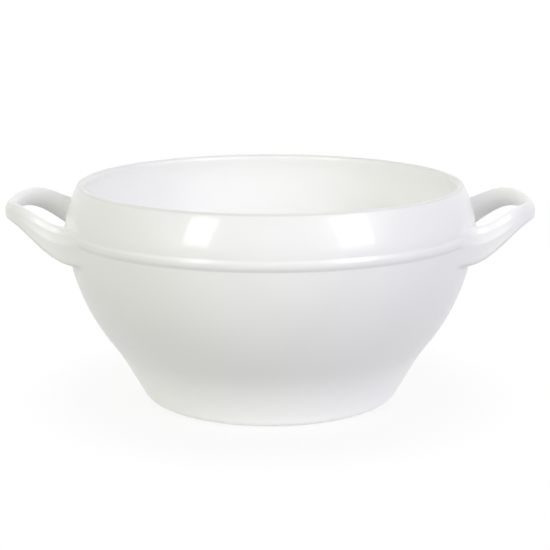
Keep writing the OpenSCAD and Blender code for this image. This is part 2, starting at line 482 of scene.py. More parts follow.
class NodeTree:
    """Short ways to add nodes to a tree and link them."""

    def __init__(self, tree: bpy.types.NodeTree) -> None:
        """Keep the tree that nodes are added to."""
        self.tree = tree

    def add(self, kind: str, given: dict | None = None, **settings: object) -> bpy.types.Node:
        """Add a node.

        Args:
            kind: Blender's name for the kind of node.
            given: Sockets to link or values to set, by the name or number of the input.
            **settings: Properties to set on it.

        Returns:
            The new node.
        """
        node = self.tree.nodes.new(kind)
        for name, value in settings.items():
            setattr(node, name, value)
        self.feed(node, given or {})
        return node

    def feed(self, node: bpy.types.Node, given: dict) -> None:
        """Link sockets to a node's inputs, or set their values.

        Args:
            node: The node.
            given: Sockets or values, by the name or number of the input.
        """
        for key, value in given.items():
            if isinstance(value, Socket):
                self.tree.links.new(value, node.inputs[key])
            else:
                node.inputs[key].default_value = value

    def combine(self, operation: str, first: object, second: object, kind: str = "ShaderNodeMath") -> Socket:
        """Combine two numbers or vectors.

        Args:
            operation: Blender's name for the operation.
            first: A socket or a value.
            second: A socket or a value.
            kind: Blender's name for the kind of node that does it.

        Returns:
            The socket of the result.
        """
        return self.add(kind, {0: first, 1: second}, operation=operation).outputs[0]


@dataclass
class TurnedForm:
    """A Geometry Nodes tree that turns a profile round the Z axis into a closed, smooth shell."""

    segments: int = 224
    seam: float = 2e-6
    sharp: float = math.radians(40)
    bare_over: float = 0.5
    tones: tuple[Tone, ...] = (Tone.POOL, Tone.THIN, Tone.BARE)

    @cached_property
    def tree(self) -> bpy.types.NodeTree:
        """The tree, with named inputs for its sizes and finishes.

        Returns:
            The tree, which every turned piece shares.
        """
        group = bpy.data.node_groups.new("turned_form", "GeometryNodeTree")
        inputs = {"Profile": "Geometry", "Segments": "Int", "Seam": "Float", "Sharp Edge": "Float",
                  "Finish": "Material", "Bare Finish": "Material"}
        for name, kind in inputs.items():
            group.interface.new_socket(name, in_out="INPUT", socket_type="NodeSocket" + kind)
        group.interface.new_socket("Shell", in_out="OUTPUT", socket_type="NodeSocketGeometry")
        build = NodeTree(group)
        given = build.add("NodeGroupInput").outputs
        shell, row = self._grid(build, given)
        for tone in self.tones:
            value = self._sample(build, given["Profile"], self._named(build, tone), row, "FLOAT")
            shell = self._store(build, shell, tone.value, value, "FLOAT", "POINT")
        merge = build.add("GeometryNodeMergeByDistance", {"Geometry": shell, "Distance": given["Seam"]})
        shell = self._shade(build, merge.outputs[0], given["Sharp Edge"])
        build.add("NodeGroupOutput", {"Shell": self._finish(build, given, shell)})
        return group

    @staticmethod
    def _named(build: NodeTree, tone: Tone) -> Socket:
        """Return a surface value that is stored on the geometry."""
        node = build.add("GeometryNodeInputNamedAttribute", {"Name": tone.value}, data_type="FLOAT")
        return node.outputs[0]

    @staticmethod
    def _sample(build: NodeTree, profile: Socket, value: Socket, row: Socket, kind: str) -> Socket:
        """Return a value of the profile's points, found by their rows."""
        given = {"Geometry": profile, "Value": value, "Index": row}
        return build.add("GeometryNodeSampleIndex", given, data_type=kind, domain="POINT").outputs[0]

    @staticmethod
    def _store(build: NodeTree, shell: Socket, name: str, value: Socket, kind: str, domain: str) -> Socket:
        """Store a named value on the shell.

        Args:
            build: The tree in the making.
            shell: Socket of the shell.
            name: Name of the value.
            value: Socket of the value.
            kind: Blender's name for its type.
            domain: Blender's name for what carries it, such as points or corners.

        Returns:
            The shell's socket.
        """
        given = {"Geometry": shell, "Name": name, "Value": value}
        node = build.add("GeometryNodeStoreNamedAttribute", given, data_type=kind, domain=domain)
        return node.outputs[0]

    def _grid(self, build: NodeTree, given: bpy.types.NodeOutputs) -> tuple[Socket, Socket]:
        """Lay a grid over the turned profile.

        Args:
            build: The tree in the making.
            given: Its inputs.

        Returns:
            The shell's socket, and the socket that counts along the profile.
        """
        whole = "FunctionNodeIntegerMath"
        profile, segments = given["Profile"], given["Segments"]
        size = build.add("GeometryNodeAttributeDomainSize", {"Geometry": profile}, component="MESH")
        columns = build.combine("ADD", segments, 1, whole)
        sides = {"Vertices X": size.outputs["Point Count"], "Vertices Y": columns}
        grid = build.add("GeometryNodeMeshGrid", sides).outputs
        index = build.add("GeometryNodeInputIndex").outputs[0]
        row = build.combine("DIVIDE_FLOOR", index, columns, whole)
        column = build.combine("MODULO", index, columns, whole)
        turn = build.combine("MULTIPLY", build.combine("DIVIDE", column, segments), -2 * math.pi)
        place = build.add("GeometryNodeInputPosition").outputs[0]
        place = self._sample(build, profile, place, row, "FLOAT_VECTOR")
        spin = build.add("ShaderNodeVectorRotate", {"Vector": place, "Angle": turn}, rotation_type="Z_AXIS")
        spun = {"Geometry": grid["Mesh"], "Position": spin.outputs[0]}
        shell = build.add("GeometryNodeSetPosition", spun).outputs[0]
        return self._store(build, shell, "UVMap", grid["UV Map"], "FLOAT2", "CORNER"), row

    @staticmethod
    def _shade(build: NodeTree, shell: Socket, sharpest: Socket) -> Socket:
        """Shade the shell smooth, but for its sharp edges.

        Args:
            build: The tree in the making.
            shell: Socket of the shell.
            sharpest: Socket of the angle, in radians, past which an edge is sharp.

        Returns:
            The shell's socket.
        """
        smooth = build.add("GeometryNodeSetShadeSmooth", {"Geometry": shell}, domain="FACE").outputs[0]
        angle = build.add("GeometryNodeInputMeshEdgeAngle").outputs["Unsigned Angle"]
        sharp = build.combine("GREATER_THAN", angle, sharpest)
        given = {"Geometry": smooth, "Selection": sharp, "Shade Smooth": False}
        return build.add("GeometryNodeSetShadeSmooth", given, domain="EDGE").outputs[0]

    def _finish(self, build: NodeTree, given: bpy.types.NodeOutputs, shell: Socket) -> Socket:
        """Realise the shell and give it its two finishes.

        Args:
            build: The tree in the making.
            given: Its inputs.
            shell: Socket of the shell.

        Returns:
            The shell's socket.
        """
        real = build.add("GeometryNodeRealizeInstances", {"Geometry": shell}).outputs[0]
        glaze = {"Geometry": real, "Material": given["Finish"]}
        glazed = build.add("GeometryNodeSetMaterial", glaze).outputs[0]
        chosen = build.combine("GREATER_THAN", self._named(build, Tone.BARE), self.bare_over)
        bare = {"Geometry": glazed, "Selection": chosen, "Material": given["Bare Finish"]}
        return build.add("GeometryNodeSetMaterial", bare).outputs[0]

    def turn(self, name: str, line: Points, tones: dict[Tone, Points], finish: bpy.types.Material,
             bare: bpy.types.Material) -> bpy.types.Object:
        """Turn a profile into a piece.

        Args:
            name: Name of the piece.
            line: Radius and height of each point, in millimetres, with the outside on its right.
            tones: Surface values of each point.
            finish: Finish of the piece.
            bare: Finish of the faces that are marked as bare.

        Returns:
            The piece, as a plain mesh.
        """
        mesh = bpy.data.meshes.new(name)
        places = [(r * MM, 0.0, z * MM) for r, z in line]
        mesh.from_pydata(places, [(k, k + 1) for k in range(len(line) - 1)], [])
        for tone in self.tones:
            values = tones.get(tone, np.zeros(len(line))).astype(np.float32)
            mesh.attributes.new(tone.value, "FLOAT", "POINT").data.foreach_set("value", values)
        piece = bpy.data.objects.new(name, mesh)
        bpy.context.scene.collection.objects.link(piece)
        modifier = piece.modifiers.new("Turned form", "NODES")
        modifier.node_group = self.tree
        sizes = {"Segments": self.segments, "Seam": self.seam, "Sharp Edge": self.sharp, "Finish": finish,
                 "Bare Finish": bare}
        for socket in self.tree.interface.items_tree:
            if socket.name in sizes:
                modifier[socket.identifier] = sizes[socket.name]
        graph = bpy.context.evaluated_depsgraph_get()
        turned = piece.evaluated_get(graph)
        solid = bpy.data.meshes.new_from_object(turned, preserve_all_data_layers=True, depsgraph=graph)
        piece.modifiers.remove(modifier)
        piece.data = solid
        solid.name = name
        bpy.data.meshes.remove(mesh)
        return piece


# Finishes


class ShaderTree(NodeTree):
    """Short ways to add the patterns that the finishes share.

    A Mix node has sockets for several kinds of value. The numbers below are those of its colours.
    """

    mix_first = 6
    mix_second = 7
    mix_result = 2

    def noise(self, place: Socket, scale: float, detail: float) -> Socket:
        """Return a soft noise of the given scale, in waves per metre."""
        given = {"Vector": place, "Scale": scale, "Detail": detail}
        return self.add("ShaderNodeTexNoise", given).outputs["Fac"]

    def tone(self, tone: Tone) -> Socket:
        """Return a surface value that is stored on the mesh."""
        return self.add("ShaderNodeAttribute", attribute_name=tone.value).outputs["Fac"]

    def mix(self, share: Socket, first: Colour | Socket, second: Colour) -> Socket:
        """Mix two colours.

        Args:
            share: Share of the second colour.
            first: A colour, or the socket of one.
            second: A colour.

        Returns:
            The socket of the mixed colour.
        """
        start = first if isinstance(first, Socket) else (*first, 1.0)
        given = {"Factor": share, self.mix_first: start, self.mix_second: (*second, 1.0)}
        return self.add("ShaderNodeMix", given, data_type="RGBA").outputs[self.mix_result]

    def bump(self, height: Socket, depth: float, under: Socket | None = None) -> Socket:
        """Return a surface direction roughened by a height.

        Args:
            height: Height, from 0 to 1.
            depth: Depth of the whole range, in metres.
            under: Direction to start from.

        Returns:
            The socket of the direction.
        """
        given = {"Strength": 1.0, "Distance": depth, "Height": height}
        if under is not None:
            given["Normal"] = under
        return self.add("ShaderNodeBump", given).outputs["Normal"]


def new_material(name: str) -> tuple[bpy.types.Material, ShaderTree, bpy.types.Node]:
    """Make a material.

    Args:
        name: Name of the material.

    Returns:
        The material, its tree and its shader.
    """
    made = bpy.data.materials.new(name)
    made.use_nodes = True
    return made, ShaderTree(made.node_tree), made.node_tree.nodes["Principled BSDF"]


@dataclass(frozen=True)
class Glaze:
    """Clear glossy glaze over white porcelain. It is a little greyer in hollows, partly as pooled glaze and
    partly as painted shade, and has painted shade along the lip's crest.
    """

    name: str = "white_glaze"
    colour: Colour = (0.952, 0.951, 0.948)
    cloud: Colour = (0.942, 0.942, 0.938)
    cloud_scale: float = 28.0
    cloud_detail: float = 3.0
    # Grey of the hollows and creases: partly pooled glaze, partly painted shade
    pooled_and_shaded: Colour = (0.925, 0.925, 0.921)
    # Grey of the painted shade along the lip's crest
    thin: Colour = (0.83, 0.83, 0.822)
    roughness: tuple[float, float] = (0.30, 0.38)
    rough_scale: float = 110.0
    rough_detail: float = 4.0
    specular: float = 0.2
    coat: float = 0.22
    coat_roughness: float = 0.02
    glow: float = 0.06
    glow_reach: Colour = (1.0, 0.95, 0.85)
    glow_depth: float = 0.0012
    ripple_scale: float = 70.0
    ripple_detail: float = 1.0
    ripple: float = 0.00006
    peel_scale: float = 900.0
    peel_detail: float = 2.0
    peel: float = 0.000004

    def material(self) -> bpy.types.Material:
        """Build the glaze.

        Returns:
            The material.
        """
        made, build, shader = new_material(self.name)
        place = build.add("ShaderNodeTexCoord").outputs["Object"]
        clouds = build.noise(place, self.cloud_scale, self.cloud_detail)
        colour = build.mix(clouds, self.colour, self.cloud)
        # Painted shade in hollows and creases, partly standing for pooled glaze
        colour = build.mix(build.tone(Tone.POOL), colour, self.pooled_and_shaded)
        # Painted shade along the lip's crest and other sharp edges
        colour = build.mix(build.tone(Tone.THIN), colour, self.thin)
        uneven = build.noise(place, self.rough_scale, self.rough_detail)
        least, most = self.roughness
        gloss = build.add("ShaderNodeMapRange", {"Value": uneven, "To Min": least, "To Max": most})
        waves = build.noise(place, self.ripple_scale, self.ripple_detail)
        ripple = build.bump(waves, self.ripple)
        pores = build.noise(place, self.peel_scale, self.peel_detail)
        build.feed(shader, {
            "Base Color": colour,
            "Roughness": gloss.outputs["Result"],
            "Specular IOR Level": self.specular,
            "Coat Weight": self.coat,
            "Coat Roughness": self.coat_roughness,
            "Subsurface Weight": self.glow,
            "Subsurface Radius": self.glow_reach,
            "Subsurface Scale": self.glow_depth,
            "Normal": build.bump(pores, self.peel, ripple),
            "Coat Normal": ripple,
        })
        return made


@dataclass(frozen=True)
class Bisque:
    """Bare, ground porcelain, as on the ring that the bowl stands on."""

    name: str = "bare_porcelain"
    colour: Colour = (0.80, 0.78, 0.74)
    worn: Colour = (0.70, 0.67, 0.62)
    worn_scale: float = 320.0
    worn_detail: float = 5.0
    roughness: float = 0.7
    grain_scale: float = 2600.0
    grain_detail: float = 3.0
    grain: float = 0.00002

    def material(self) -> bpy.types.Material:
        """Build the bare finish.

        Returns:
            The material.
        """
        made, build, shader = new_material(self.name)
        place = build.add("ShaderNodeTexCoord").outputs["Object"]
        wear = build.noise(place, self.worn_scale, self.worn_detail)
        grain = build.noise(place, self.grain_scale, self.grain_detail)
        build.feed(shader, {
            "Base Color": build.mix(wear, self.colour, self.worn),
            "Roughness": self.roughness,
            "Normal": build.bump(grain, self.grain),
        })
        return made


@dataclass(frozen=True)
class Finishes:
    """The finishes of the bowl's pieces."""

    glaze: bpy.types.Material
    bare: bpy.types.Material

    @classmethod
    def make(cls) -> "Finishes":
        """Build every finish once."""
        return cls(Glaze().material(), Bisque().material())


# Pieces


@dataclass
class TurnedPiece:
    """A piece turned on the bowl's axis. The bends of its outline can give it tones: painted shade in
    hollows, which partly stands for pooled glaze, and painted shade over sharp edges.
    """

    outline: BowlOutline
    form: TurnedForm
    glaze_r: float = 0.2
    fine_step: float = 0.05
    longest: float = 1.5
    sharpest: float = 4.0
    # Bend at which hollows get their full painted shade, which partly stands for pooled glaze
    pool_and_shade_bend: float = 1.1
    # Bends over which painted shade grows on edges, and how it fades on faces that turn down and inward
    edge_shade_bend: tuple[float, float] = (0.4, 0.8)
    edge_shade_past: float = 0.45
    edge_shade_least: float = 0.3

    def tones_of(self, line: Points, places: Points) -> dict[Tone, Points]:
        """Find the hollows, which get painted shade that partly stands for pooled glaze, and the sharp edges,
        which get painted shade.

        Args:
            line: Closely spaced points of the outline.
            places: Distances along it of the points to keep.

        Returns:
            The surface values at those places.
        """
        run = along(line)
        turn = np.interp(places, run, bend(line))
        way = np.gradient(line, axis=0)
        rise = np.interp(places, run, way[:, 1] / np.linalg.norm(way, axis=1))
        low, high = self.edge_shade_bend
        return {
            # Painted shade in concave bends, partly standing for pooled glaze
            Tone.POOL: np.clip(-turn / self.pool_and_shade_bend, 0.0, 1.0),
            # Painted shade on convex edges, weaker where the surface faces down and inward
            Tone.THIN: np.clip((turn - low) / (high - low), 0.0, 1.0)
            * np.clip((1 + rise) / self.edge_shade_past + self.edge_shade_least, 0.0, 1.0),
        }


@dataclass
class BowlBody(TurnedPiece):
    """The bowl's body: belly, bead, collar, lip, inside and the underside within the foot."""

    def profile(self) -> Points:
        """Draw the body's outline, from the middle of its underside round to the middle of its floor.

        Returns:
            Radius and height of each point.
        """
        joint = self.outline.foot_joint_h
        under = np.array([[0.0, joint], [self.outline.flank_at(joint), joint]])
        wall = np.vstack([self.outline.outside(), self.outline.inside()[1:]])
        return np.vstack([under, soften(wall, self.fine_step, self.glaze_r)[1:]])

    def build(self, finishes: Finishes) -> bpy.types.Object:
        """Build and dress the body.

        Args:
            finishes: The finishes of the pieces.

        Returns:
            The piece.
        """
        line = self.profile()
        wall = line[1:]
        places = fit_points(wall, self.longest, self.sharpest)
        kept = np.vstack([line[:1], spread(wall, places)])
        kept[-1, 0] = 0.0
        found = self.tones_of(wall, places)
        tones = {tone: np.concatenate([[0.0], values]) for tone, values in found.items()}
        piece = self.form.turn("turned_body", kept, tones, finishes.glaze, finishes.bare)
        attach(piece, BODY)
        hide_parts("bowl_body")
        return piece


@dataclass
class FootRing(TurnedPiece):
    """The foot luted under the body, glazed but for the ring that it stands on."""

    inner_steps: int = 16
    corner_steps: int = 24
    flat_within: float = 0.05

    def profile(self) -> Points:
        """Draw the ring's outline, from its top down the bore, over the standing ring and up the outside.

        Returns:
            Radius and height of each point.
        """
        size = self.outline
        joint = size.foot_joint_h
        inner_c = np.array([size.foot_d / 2 - size.standing_w, size.foot_inner_r])
        top_out = np.array([[size.flank_at(joint), joint]])
        top_in = np.array([[size.foot_bore_at(joint), joint]])
        return np.vstack([
            top_in,
            arc(inner_c, size.foot_inner_r, 180, 270, self.inner_steps),
            arc(size.corner_c, size.foot_corner_r, -90, size.foot_slope - 90, self.corner_steps),
            top_out,
            top_in,
        ])

    def build(self, finishes: Finishes) -> bpy.types.Object:
        """Build and dress the foot.

        Args:
            finishes: The finishes of the pieces.

        Returns:
            The piece.
        """
        line = self.profile()
        flat = np.isclose(line[:, 1], 0.0, atol=self.flat_within).astype(float)
        piece = self.form.turn("standing_foot", line, {Tone.BARE: flat}, finishes.glaze, finishes.bare)
        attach(piece, BODY)
        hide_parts("foot_ring", "foot_slip")
        return piece


@dataclass(frozen=True)
class StrapSizes:
    """Driving sizes of a loop handle, in millimetres, with heights over the bead's crease."""

    loop_w: float = 51.4
    loop_reach: float = 16.415
    loop_fullness: float = 2.25
    strap_t: float = 3.2
    top_inner_r: float = 1.3
    shoulder_r: float = 0.9
    shoulder_drop: float = 2.2
    low_edge_r: float = 1.5
    leans: tuple[float, ...] = (-0.3, 0.6, 0.8, 0.1)
    band_proud: float = 0.3
    ridge_proud: float = 0.6
    ridge_hollow: float = 1.5
    ridge_drops: tuple[float, ...] = (2.2, 3.8, 1.4, 0.4)
    ridge_fade: tuple[float, ...] = (1.0, 1.0, -0.25, 0.0)
    round_steps: int = 12
    face_steps: int = 40
    low_edge_steps: int = 28
    inner_steps: int = 10
    top_heights: tuple[float, ...] = (5.3, 3.9, 13.8, 10.0)
    low_heights: tuple[float, ...] = (-5.5, -7.0, 8.0, 4.8)
    inner_swell: tuple[float, float] = (2.2, 0.9)
    root_run: float = 7.0
    root_out: float = 8.0
    root_in: float = 2.0
    root_over: float = 0.8
    root_under: float = 2.4
    root_inner_under: float = 3.6


@dataclass
class LoopHandle:
    """A rising loop of strap whose ridge carries on the bead, with roots that spread onto the wall."""

    outline: BowlOutline
    side: Side
    sizes: StrapSizes = field(default_factory=StrapSizes)
    glaze_r: float = 0.16
    sunk_run: float = 9.0
    sunk: float = 0.3
    bead_shares: tuple[float, float] = (0.45, 0.9)
    root_rows: int = 14
    arm_rows: int = 44
    section_steps: int = 64
    search_ends: tuple[float, float] = (-1.0, 0.75)
    search_steps: int = 40
    settle_steps: int = 6
    hidden_rows: tuple[tuple[float, float], ...] = ((1.3, -1.0), (1.2, -0.1))
    half_w: float = field(init=False)
    half_l: float = field(init=False)
    centre_x: float = field(init=False)

    def __post_init__(self) -> None:
        """Work out the oval that the strap follows."""
        size = self.sizes
        start = self.outline.collar_start[0]
        self.half_w = size.loop_w / 2 - size.strap_t / 2 - size.band_proud
        self.centre_x = math.sqrt(start**2 - self.half_w**2)
        self.half_l = self.outline.bead_face_r + size.loop_reach - self.centre_x

    def section(self, t: float) -> Points:
        """Make the strap's section at one place.

        Args:
            t: Progress from the wall, 0, to the tip, 1.

        Returns:
            Outward offset and height of each point, clockwise from the inner top edge.
        """
        size = self.sizes
        top_z = self.outline.bead_z + float(cubic(size.top_heights, t))
        low_z = self.outline.bead_z + float(cubic(size.low_heights, t))
        inner = np.array([size.top_inner_r - size.strap_t / 2, top_z - size.top_inner_r])
        shoulder = np.array([size.strap_t / 2 - size.shoulder_r, top_z - size.shoulder_drop])
        low = np.array([float(cubic(size.leans, t)), low_z + size.low_edge_r])
        inside_a = self.touch_angle(low, size.low_edge_r, inner, size.top_inner_r)
        roof_a = self.touch_angle(inner, size.top_inner_r, shoulder, size.shoulder_r)
        face_a = self.touch_angle(shoulder, size.shoulder_r, low, size.low_edge_r)
        inner_low = low + size.low_edge_r * unit(inside_a)
        inner_top = inner + size.top_inner_r * unit(inside_a)
        ring = np.vstack([
            arc(inner, size.top_inner_r, inside_a, roof_a, size.round_steps),
            arc(shoulder, size.shoulder_r, roof_a, face_a, size.round_steps),
            self.face(shoulder + size.shoulder_r * unit(face_a), low + size.low_edge_r * unit(face_a), t),
            arc(low, size.low_edge_r, face_a, inside_a - 360, size.low_edge_steps),
            self.between(inner_low, inner_top, size.inner_steps),
        ])
        up = 2 * (ring[:, 1] - low_z) / (top_z - low_z) - 1
        inward = np.clip(0.5 - ring[:, 0] / size.strap_t, 0.0, 1.0)
        ring[:, 0] += np.where(up < 0, *size.inner_swell) * inward * up**2
        return self.smooth_ring(ring)

    def face(self, top: Points, end: Points, t: float) -> Points:
        """Make the strap's outer face, whose ridge carries on the bead.

        Args:
            top: Upper end of the face.
            end: Lower end of the face.
            t: Progress from the wall, 0, to the tip, 1.

        Returns:
            The points between the two ends.
        """
        size = self.sizes
        length = float(np.linalg.norm(end - top))
        down = (end - top) / length
        ridge = float(cubic(size.ridge_drops, t))
        proud = size.ridge_proud * max(0.0, float(cubic(size.ridge_fade, t)))
        run = np.linspace(0, length, size.face_steps + 1)[1:-1]
        rise = np.minimum(run / ridge, (length - run) / (length - ridge))
        return top + np.outer(run, down) + np.outer(proud * rise**size.ridge_hollow, [-down[1], down[0]])

    @staticmethod
    def between(start: Points, end: Points, count: int) -> Points:
        """Return points between two ends, without the ends."""
        return start + np.outer(np.arange(1, count + 1) / (count + 1), end - start)

    @staticmethod
    def touch_angle(first_c: Points, first_r: float, second_c: Points, second_r: float) -> float:
        """Return the outward angle of the line that touches two rounds.

        Args:
            first_c: Centre of the first round.
            first_r: Radius of the first round.
            second_c: Centre of the second round.
            second_r: Radius of the second round.

        Returns:
            The angle, in degrees, of the line on the left of the way from the first to the second.
        """
        way = second_c - first_c
        return angle_of(way) + math.degrees(math.acos((first_r - second_r) / float(np.linalg.norm(way))))

    def smooth_ring(self, ring: Points) -> Points:
        """Round a closed section as its coat of glaze does.

        Args:
            ring: Points of the section.

        Returns:
            The rounded section, point for point.
        """
        run = along(np.vstack([ring, ring[:1]]))
        total, run = run[-1], run[:-1]
        weight = np.roll(run, -1) - np.roll(run, 1)
        weight[[0, -1]] += total
        gap = np.abs(run[:, None] - run[None, :])
        gap = np.minimum(gap, total - gap)
        kernel = np.exp(-0.5 * (gap / self.glaze_r) ** 2) * weight[None, :]
        return (kernel / kernel.sum(1, keepdims=True)) @ ring

    @staticmethod
    def outward(ring: Points) -> Points:
        """Find the outward directions of a section.

        Args:
            ring: Points of the section, clockwise.

        Returns:
            The direction at each point, of length 1.
        """
        way = np.roll(ring, -1, axis=0) - np.roll(ring, 1, axis=0)
        way /= np.linalg.norm(way, axis=1, keepdims=True)
        return np.column_stack([-way[:, 1], way[:, 0]])

    @cached_property
    def rings(self) -> Points:
        """The strap's sections at even steps from the wall to the tip."""
        return np.array([self.section(t) for t in np.linspace(0, 1, self.section_steps + 1)])

    def at(self, progress: Points) -> tuple[Points, Points]:
        """Place the strap's points and their outward directions.

        Args:
            progress: For each point of the section, from the wall, 0, to the tip, 1. Below 0 is in the wall.

        Returns:
            The places in space, and the outward directions there.
        """
        turn = np.radians(90 * np.clip(progress, 0, 1))
        power = 2 / self.sizes.loop_fullness
        ahead, aside = np.sin(turn), np.abs(np.cos(turn))
        t = ahead**power
        low = np.clip((t * self.section_steps).astype(int), 0, self.section_steps - 1)
        share = (t * self.section_steps - low)[:, None]
        column = np.arange(self.rings.shape[1])
        ring = self.rings[low, column] * (1 - share) + self.rings[low + 1, column] * share
        normals = self.outward(ring)
        x = self.centre_x + self.half_l * t + np.minimum(progress, 0) * self.sunk_run
        y = -self.half_w * aside**power
        out = np.column_stack([self.half_w * ahead ** (2 - power), -self.half_l * aside ** (2 - power)])
        out /= np.linalg.norm(out, axis=1, keepdims=True)
        places = np.column_stack([x + ring[:, 0] * out[:, 0], y + ring[:, 0] * out[:, 1], ring[:, 1]])
        ways = np.column_stack([normals[:, :1] * out, normals[:, 1]])
        return places, ways

    def meets(self, gap: float, bead_share: float) -> Points:
        """Find where each line of the strap is a given distance from the wall.

        Args:
            gap: The distance.
            bead_share: Share of the bead to count, from 0 to 1.

        Returns:
            The progress of each line, as for at().
        """
        low, high = (np.full(self.rings.shape[1], end) for end in self.search_ends)
        for _ in range(self.search_steps):
            middle = (low + high) / 2
            near = self.outline.wall_gap(self.at(middle)[0], bead_share)[0] < gap
            low = np.where(near, middle, low)
            high = np.where(near, high, middle)
        return (low + high) / 2

    def flare(self, ways: Points, share: float) -> Points:
        """Return how far the root spreads from the strap's own surface.

        Args:
            ways: Outward directions of the strap's points.
            share: Share of the whole spread.

        Returns:
            The shift of each point, which follows an oval about the section.
        """
        size = self.sizes
        inward = np.clip(ways[:, 1], 0.0, 1.0)
        under = size.root_under + (size.root_inner_under - size.root_under) * inward
        side = np.where(ways[:, 1] < 0, size.root_out, size.root_in) * share
        rise = np.where(ways[:, 2] < 0, under, size.root_over) * share
        scale = np.column_stack([side, side, rise])
        return scale**2 * ways / np.maximum(np.linalg.norm(scale * ways, axis=1, keepdims=True), TINY)

    def root_row(self, share: float, gap: float) -> Points:
        """Make one row of points on the root's hollow.

        Args:
            share: Share of the root's whole spread.
            gap: Distance from the wall.

        Returns:
            The points.
        """
        gone, whole = self.bead_shares
        bead_share = min(1.0, max(0.0, (share - gone) / (whole - gone)))
        places, ways = self.at(self.meets(gap, bead_share))
        places = places + self.flare(ways, share)
        for _ in range(self.settle_steps):
            here, out = self.outline.wall_gap(places, bead_share)
            places = places + (gap - here)[:, None] * out
        return places

    def half(self) -> Points:
        """Make the rows of points from the front root, whose first rows lie in the wall, to the tip.

        Returns:
            An array of rows, points and coordinates.
        """
        run = self.sizes.root_run
        rows = [self.root_row(share, depth * self.sunk) for share, depth in self.hidden_rows]
        for k in range(self.root_rows + 1):
            turn = math.radians(90 * k / self.root_rows)
            rows.append(self.root_row(1 - math.sin(turn), run * (1 - math.cos(turn))))
        start = self.meets(run, 0.0)
        for k in range(1, self.arm_rows + 1):
            rows.append(self.at(start + (1 - start) * k / self.arm_rows)[0])
        return np.array(rows)

    @staticmethod
    def faces(count: int, around: int) -> list[tuple[int, ...]]:
        """Join rows of points into a tube that a point at each end closes.

        Args:
            count: Number of rows.
            around: Number of points in a row.

        Returns:
            The numbers of each face's points. The two end points come after the rows.
        """
        end, first = (count - 1) * around, count * around
        faces = []
        for i in range(0, end, around):
            for j in range(around):
                k = (j + 1) % around
                faces.append((i + j, i + k, i + around + k, i + around + j))
        for j in range(around):
            k = (j + 1) % around
            faces.append((k, j, first))
            faces.append((end + j, end + k, first + 1))
        return faces

    def build(self, finishes: Finishes) -> bpy.types.Object:
        """Build and dress the handle.

        Args:
            finishes: The finishes of the pieces.

        Returns:
            The piece.
        """
        front = self.half()
        back = front[-2::-1] * np.array([1.0, -1.0, 1.0])
        rows = np.concatenate([front, back])
        rows[:, :, 0] *= self.side.value
        caps = np.array([rows[0].mean(0), rows[-1].mean(0)])
        points = np.vstack([rows.reshape(-1, 3), caps]) * MM
        faces = self.faces(*rows.shape[:2])
        if self.side is Side.LEFT:
            faces = [face[::-1] for face in faces]
        side = self.side.name.lower()
        name = f"{side}_loop"
        mesh = bpy.data.meshes.new(name)
        mesh.from_pydata(points.tolist(), [], faces)
        mesh.update()
        mesh.shade_smooth()
        for tone in (Tone.POOL, Tone.THIN):
            mesh.attributes.new(tone.value, "FLOAT", "POINT")
        piece = bpy.data.objects.new(name, mesh)
        bpy.context.scene.collection.objects.link(piece)
        mesh.materials.append(finishes.glaze)
        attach(piece, BODY)
        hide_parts(f"{side}_handle", f"{side}_front_slip", f"{side}_back_slip")
        return piece


# Studio


def facing(azimuth: float, elevation: float) -> Vector:
    """Return the direction from the bowl to a place in the studio.

    Args:
        azimuth: Degrees round from the front, positive towards +X.
        elevation: Degrees above the floor.

    Returns:
        The direction, of length 1.
    """
    turn, rise = math.radians(azimuth), math.radians(elevation)
    return Vector((math.sin(turn) * math.cos(rise), -math.cos(turn) * math.cos(rise), math.sin(rise)))


@dataclass(frozen=True)
class Softbox:
    """A soft rectangular lamp that faces the bowl, with angles in degrees and sizes in metres."""

    name: str
    azimuth: float
    elevation: float
    width: float
    height: float
    radiance: float
    distance: float = 0.8
    shows: Shows = Shows.GLOSS
    colour: Colour = WHITE

    def place(self, target: Vector) -> None:
        """Put the lamp in the scene.

        Args:
            target: Place that it faces.
        """
        way = facing(self.azimuth, self.elevation)
        lamp = bpy.data.lights.new(self.name, "AREA")
        lamp.shape = "RECTANGLE"
        lamp.size, lamp.size_y = self.width, self.height
        lamp.energy = self.radiance * math.pi * self.width * self.height
        lamp.color = self.colour
        holder = bpy.data.objects.new(self.name, lamp)
        holder.location = target + way * self.distance
        holder.rotation_euler = way.to_track_quat("Z", "Y").to_euler()
        holder.visible_diffuse = self.shows is Shows.BODY
        holder.visible_glossy = self.shows is Shows.GLOSS
        bpy.context.scene.collection.objects.link(holder)


@dataclass(frozen=True)
class Glow:
    """A soft lobe of light in the surround, with its angles in degrees."""

    name: str
    azimuth: float
    elevation: float
    colour: Colour
    narrowness: float = 4.0


